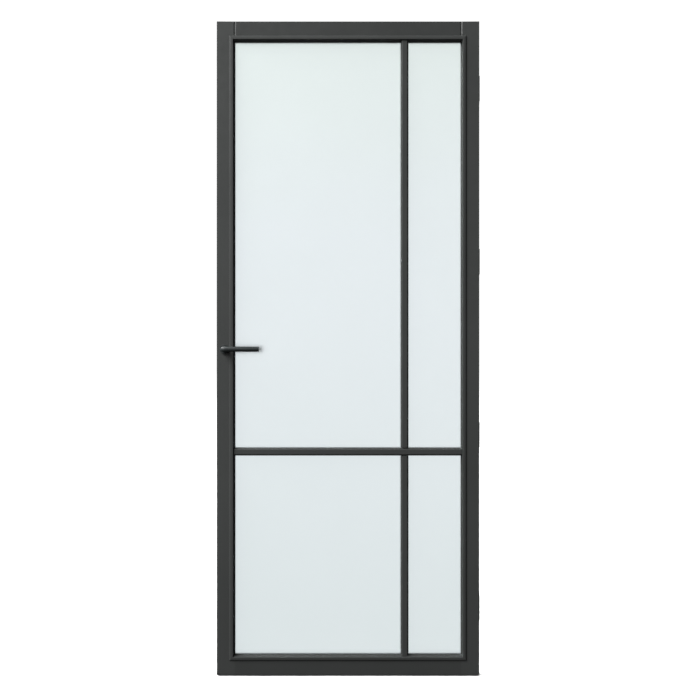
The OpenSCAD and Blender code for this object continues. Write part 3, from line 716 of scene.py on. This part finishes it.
def bent_bar():
    """The front lever, before its holes."""
    bar_y, tip_x = LEVER[0].y + LEVER_RADIUS, LEVER[1].x
    neck_y = ROSE[0].y - NECK_GAP
    journal_end = JOURNAL_DEPTH - LEAF_TOP.y
    heel_radius = LEVER_RADIUS - HEEL_CHAMFER
    bm = bmesh.new()
    circle = bmesh.ops.create_circle(bm, cap_ends=True, segments=64, radius=JOURNAL_RADIUS)["verts"]
    bmesh.ops.rotate(bm, verts=circle, matrix=Matrix.Rotation(math.pi / 2, 3, "X"))
    bmesh.ops.translate(bm, verts=circle, vec=LEVER_AXIS + Vector((0.0, journal_end, 0.0)))
    ring = grow(bm, bm.edges[:], (0.0, neck_y - journal_end, 0.0))
    centre = LEVER_AXIS + Vector((0.0, neck_y, 0.0))
    ring = grow(bm, ring, scale=heel_radius / JOURNAL_RADIUS, centre=centre)
    step = Vector((0.0, -HEEL_CHAMFER, 0.0))
    ring = grow(bm, ring, step, LEVER_RADIUS / heel_radius, centre + step)
    ring = grow(bm, ring, (0.0, (bar_y + LEVER_BEND) - (neck_y - HEEL_CHAMFER), 0.0))
    bend = bmesh.ops.spin(bm, geom=ring, cent=LEVER_AXIS + Vector((LEVER_BEND, bar_y + LEVER_BEND, 0.0)),
                          axis=(0.0, 0.0, 1.0), dvec=(0.0, 0.0, 0.0), angle=math.pi / 2,
                          steps=24, use_merge=False, use_duplicate=False)["geom_last"]
    ring = grow(bm, edges_in(bend), (tip_x - (LEVER_AXIS.x + LEVER_BEND), 0.0, 0.0))
    bmesh.ops.contextual_create(bm, geom=ring)
    bmesh.ops.remove_doubles(bm, verts=bm.verts, dist=WELD)
    bmesh.ops.recalc_face_normals(bm, faces=bm.faces)
    ease(bm, TIP_ROUNDING, lambda edge: min(v.co.x for v in edge.verts) > tip_x - WELD, steps=5)
    return bm


def spindle_socket(side):
    """The square hole of the lever on one side, 1 for the front and -1 for the back."""
    bm = bmesh.new()
    bmesh.ops.create_cube(bm, size=1.0)
    bmesh.ops.scale(bm, verts=bm.verts, vec=(SOCKET_WIDTH, SOCKET_DEPTH, SOCKET_WIDTH))
    bmesh.ops.translate(bm, verts=bm.verts, vec=(LEVER_AXIS.x, -side * SOCKET_DEPTH / 2, LEVER_AXIS.z))
    return bm


def grub_hole(side):
    """The grub screw's hole, from below the lever on one side into its socket."""
    grub_y, grub_radius = GRUB[1].y, (GRUB[1].x - GRUB[0].x) / 2
    radius = grub_radius + LEVER_PLAY / 2
    bm = bmesh.new()
    bmesh.ops.create_cone(bm, cap_ends=True, segments=48, radius1=radius, radius2=radius,
                          depth=2 * (LEVER_RADIUS - SOCKET_WIDTH / 4))
    bmesh.ops.translate(bm, verts=bm.verts, vec=(LEVER_AXIS.x, -side * (grub_y - grub_radius),
                                                 LEVER[0].z - SOCKET_WIDTH / 4 + GRUB_OVERRUN))
    return bm


class DOOR_OT_levers(Operator):
    """Makes the bent round bar levers"""

    bl_idname = "door.levers"
    bl_label = "Levers"

    def execute(self, context):
        for face, side in FACES.items():
            bm = bent_bar()
            face_side(bm, face)
            node = f"{face}_lever"
            piece = add_piece(bm, f"{node}_coated", lever_coat(), node)
            cut_from(piece, spindle_socket(side))
            cut_from(piece, grub_hole(side))
        return {"FINISHED"}


class DOOR_OT_roses(Operator):
    """Turns the covers of the roses"""

    bl_idname = "door.roses"
    bl_label = "Roses"

    def execute(self, context):
        low, high = ROSE
        radius, thick = (high.x - low.x) / 2, high.y - low.y
        centre = Vector(((low.x + high.x) / 2, high.y, (low.z + high.z) / 2))
        outward = Vector((0.0, -1.0, 0.0))
        inner = radius - ROSE_WALL
        profile = [(radius, 0.0), (radius, thick), (ROSE_BORE, thick), (ROSE_BORE, thick - ROSE_WALL),
                   (inner, thick - ROSE_WALL), (inner, 0.0)]
        for face in FACES:
            bm = turned(profile, centre, outward, steps=96)
            ease(bm, TURNED_ROUNDING, rim_of(centre, outward, radius, thick), steps=6)
            face_side(bm, face)
            node = f"{face}_rose_cap"
            add_piece(bm, f"{node}_coated", lever_coat(), node)
        return {"FINISHED"}


# ---- hinges and lock ----

PIN_HEAD = 0.0025           # thickness of a pin's heads
PIN_RADIUS = 0.0035         # radius of its shaft
SHORTEST_PLATE_EDGE = 0.009
SHORTEST_LATCH_EDGE = 0.005
PLATE_OPENING = 0.0052      # the faceplate's edges this near its middle line belong to its openings


def on_plate_rim(edge):
    """Whether an edge is a long one that lies within the leaf's thickness."""
    return edge.calc_length() > SHORTEST_PLATE_EDGE and all(v.co.y < LEAF_TOP.y + WELD for v in edge.verts)


def outside(edge):
    """Whether an edge lies at or beyond the leaf's lock edge."""
    return all(v.co.x < LEAF_LOW.x + WELD for v in edge.verts)


def on_faceplate_rim(edge):
    return outside(edge) and max(abs(v.co.y) for v in edge.verts) > PLATE_OPENING


def on_latch_nose(edge):
    return outside(edge) and edge.calc_length() > SHORTEST_LATCH_EDGE


class DOOR_OT_hinges(Operator):
    """Rounds the hinge plates and turns the pins"""

    bl_idname = "door.hinges"
    bl_label = "Hinges"

    def execute(self, context):
        steel = hinge_steel()
        for number in HINGES:
            for part in ("door_plate", "jamb_plate"):
                node = f"hinge_{number}_{part}"
                bm = merged_copy(node)
                ease(bm, context.scene.door_edges.metal, on_plate_rim, steps=2, least=PLATE_TURN)
                add_piece(bm, f"{node}_steel", steel, node)
            self.turn_pin(number, steel)
        coat_node("hinge_screws", steel)
        coat_node("hinge_bearings", made_once("bearing_bronze", brushed_metal, (0.50, 0.36, 0.18), 0.3,
                                              BRONZE_GRAIN))
        return {"FINISHED"}

    def turn_pin(self, number, steel):
        low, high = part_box(f"hinge_{number}_pin")
        head, long = (high.x - low.x) / 2, high.z - low.z
        centre = Vector(((low.x + high.x) / 2, (low.y + high.y) / 2, low.z))
        up = Vector((0.0, 0.0, 1.0))
        profile = [(0.0, 0.0), (head, 0.0), (head, PIN_HEAD), (PIN_RADIUS, PIN_HEAD),
                   (PIN_RADIUS, long - PIN_HEAD), (head, long - PIN_HEAD), (head, long), (0.0, long)]
        bm = turned(profile, centre, up, steps=48)
        ease(bm, TURNED_ROUNDING, rim_of(centre, up, head, 0.0, long), steps=5)
        node = f"hinge_{number}_pin"
        add_piece(bm, f"{node}_steel", steel, node)


class DOOR_OT_lock(Operator):
    """Finishes the faceplate, the latch and the parts inside the leaf"""

    bl_idname = "door.lock"
    bl_label = "Lock"

    def execute(self, context):
        width = context.scene.door_edges.metal
        steel = hinge_steel()
        bm = merged_copy("faceplate")
        ease(bm, width, on_faceplate_rim, steps=2, least=PLATE_TURN)
        add_piece(bm, "faceplate_steel", steel, "faceplate")
        coat_node("faceplate_screws", steel)
        bm = merged_copy("latch_bolt")
        ease(bm, width, on_latch_nose, steps=3, least=PLATE_TURN)
        nylon = made_once("latch_nylon", powder_coat, (0.020, 0.020, 0.021), 0.45)
        add_piece(bm, "latch_bolt_nylon", nylon, "latch_bolt")
        zinc = made_once("die_cast_zinc", brushed_metal, (0.60, 0.60, 0.58), 0.38, ZINC_GRAIN)
        plated = made_once("zinc_plate", brushed_metal, (0.48, 0.49, 0.50), 0.32, PLATE_GRAIN)
        coat_node("corner_dowels", made_once("beech", turned_beech))
        for node in ("lock_cover_screws", "latch_magnet", "follower", "front_rose_base", "back_rose_base",
                     "rose_screws"):
            coat_node(node, zinc)
        for node in ("lock_case", "lock_cover", "latch_spring", "follower_spring", "spindle", "grub_screws"):
            coat_node(node, plated)
        return {"FINISHED"}


# ---- studio ----

# Lamps: place, on the front's side or on the right, and size across
KEY_LAMP = ((-7.2, -5.0, 9.4), 7.0)
FILL_LAMP = ((-1.6, -4.6, 1.9), 2.4)
SIDE_LAMP = ((5.0, 0.0, 1.7), 4.4)
EDGE_PIECES = ("stile_painted", "rail_painted", "_steel")    # what the side lamps light

SENSOR_WIDTH = 36.0         # millimetres
WHITE = 1.08                # brightness of the background where it is seen
FLOOR_RADIUS = 40.0
FLOOR_LIGHT = 4.2
FLOOR_LIGHT_SPREAD = math.radians(60.0)
FLOOR_LIGHT_PLACE = (0.0, 0.0, 5.0)


def lit_group(name, pieces):
    """A collection of the pieces that a light falls on."""
    group = bpy.data.collections.new(name)
    for piece in pieces:
        group.objects.link(piece)
    return group


class DOOR_OT_studio(Operator):
    """Sets up the floor, the lights and the camera"""

    bl_idname = "door.studio"
    bl_label = "Studio"

    def execute(self, context):
        scene, studio = context.scene, context.scene.door_studio
        scene.view_settings.view_transform = "Standard"
        self.make_world(scene, studio)
        self.make_floor(scene, studio)
        for face, side in FACES.items():
            self.soft_light(scene, f"key_{face}", KEY_LAMP, (1.0, side), studio.key)
            fill = self.soft_light(scene, f"fill_{face}", FILL_LAMP, (1.0, side), studio.fill)
            fill.visible_glossy = False
        edges = lit_group("lit_by_side_light", [piece for piece in scene.objects
                                                if piece.name.endswith(EDGE_PIECES)])
        for name, way in (("side_right", 1.0), ("side_left", -1.0)):
            side_light = self.soft_light(scene, name, SIDE_LAMP, (way, 1.0), studio.side)
            side_light.light_linking.receiver_collection = edges
        self.make_camera(scene, studio)
        return {"FINISHED"}

    def soft_light(self, scene, name, lamp, mirror, power):
        """A square lamp aimed at the leaf's middle. mirror holds the factors of its place's X and Y."""
        (x, y, z), size = lamp
        place = Vector((x * mirror[0], y * mirror[1], z))
        aim = Vector((0.0, 0.0, (LEAF_LOW.z + LEAF_TOP.z) / 2))
        area = bpy.data.lights.new(name, "AREA")
        area.shape, area.energy = "RECTANGLE", power
        area.size = area.size_y = size
        light = bpy.data.objects.new(name, area)
        light.location = place
        light.rotation_euler = (aim - place).to_track_quat("-Z", "Y").to_euler()
        light.visible_camera = light.visible_transmission = False
        scene.collection.objects.link(light)
        return light

    def make_camera(self, scene, studio):
        lens = bpy.data.cameras.new("camera")
        lens.sensor_width = SENSOR_WIDTH
        lens.lens = SENSOR_WIDTH / 2 / math.tan(studio.field / 2)
        camera = bpy.data.objects.new("camera", lens)
        camera.location = (0.0, LEAF_LOW.y - studio.distance, studio.height)
        camera.rotation_euler = (math.pi / 2, 0.0, 0.0)
        scene.collection.objects.link(camera)
        scene.camera = camera

    def make_world(self, scene, studio):
        """White where it is seen, and a dim soft dome for what falls on the door."""
        world = bpy.data.worlds.new("studio")
        world.use_nodes = True
        scene.world = world
        tree = world.node_tree
        plain = (1.0, 1.0, 1.0)
        white = tree.nodes["Background"]
        set_inputs(tree, white, {"Color": plain, "Strength": WHITE})
        dim = add_node(tree, "ShaderNodeBackground", {"Color": plain, "Strength": studio.dome})
        path = add_node(tree, "ShaderNodeLightPath", {}).outputs
        bounces = worked_out(tree, "ADD", path["Diffuse Depth"], path["Glossy Depth"])
        straight = worked_out(tree, "LESS_THAN", bounces, 0.5)    # not bounced off anything yet
        looking = worked_out(tree, "MAXIMUM", path["Is Camera Ray"], path["Is Transmission Ray"])
        seen = worked_out(tree, "MULTIPLY", looking, straight)
        surface = mixed(tree, seen, dim.outputs["Background"], white.outputs["Background"])
        set_inputs(tree, tree.nodes["World Output"], {"Surface": surface})

    def make_floor(self, scene, studio):
        """A plain pale floor under its own even light."""
        bm = bmesh.new()
        bmesh.ops.create_circle(bm, cap_ends=True, segments=96, radius=FLOOR_RADIUS)
        mesh = bpy.data.meshes.new("studio_floor")
        bm.to_mesh(mesh)
        bm.free()
        mesh.transform(Matrix.Translation((0.0, 0.0, LEAF_LOW.z - studio.floor_gap)))
        pale = Finish("pale_floor", {"Metallic": 0.0, "Roughness": 0.8, "Specular IOR Level": 0.0})
        pale.set({"Base Color": pale.tones(pale.noise(1.5), (0.80, 0.80, 0.80), (0.84, 0.84, 0.84))})
        mesh.materials.append(pale.material)
        floor = bpy.data.objects.new("studio_floor", mesh)
        scene.collection.objects.link(floor)
        floor.visible_glossy = floor.visible_diffuse = floor.visible_transmission = False
        sun = bpy.data.lights.new("floor_light", "SUN")
        sun.energy, sun.angle = FLOOR_LIGHT, FLOOR_LIGHT_SPREAD
        light = bpy.data.objects.new("floor_light", sun)
        light.location = FLOOR_LIGHT_PLACE
        scene.collection.objects.link(light)
        light.light_linking.receiver_collection = lit_group("lit_by_floor_light", [floor])


class DOOR_PT_sidebar(Panel):
    """The door's settings and steps"""

    bl_idname = "DOOR_PT_sidebar"
    bl_label = "Glass Door"
    bl_space_type = "VIEW_3D"
    bl_region_type = "UI"
    bl_category = "Glass Door"

    def draw(self, context):
        for group in SETTINGS:
            settings, box = getattr(context.scene, group), self.layout.box()
            for name in settings.__annotations__:
                box.prop(settings, name)
        for step in STEPS:
            self.layout.operator(step.bl_idname)


SETTINGS = {"door_edges": DoorEdges, "door_finishes": DoorFinishes, "door_studio": DoorStudio}
STEPS = (DOOR_OT_frame, DOOR_OT_beads, DOOR_OT_bars, DOOR_OT_glass, DOOR_OT_levers, DOOR_OT_roses,
         DOOR_OT_hinges, DOOR_OT_lock, DOOR_OT_studio)


def register():
    for group in (*SETTINGS.values(), *STEPS, DOOR_PT_sidebar):
        bpy.utils.register_class(group)
    for name, group in SETTINGS.items():
        setattr(bpy.types.Scene, name, PointerProperty(type=group))


def unregister():
    for name in SETTINGS:
        delattr(bpy.types.Scene, name)
    for group in (DOOR_PT_sidebar, *reversed(STEPS), *reversed(SETTINGS.values())):
        bpy.utils.unregister_class(group)


def main():
    register()
    for step in STEPS:
        family, name = step.bl_idname.split(".")
        getattr(getattr(bpy.ops, family), name)()


if __name__ == "__main__":
    main()
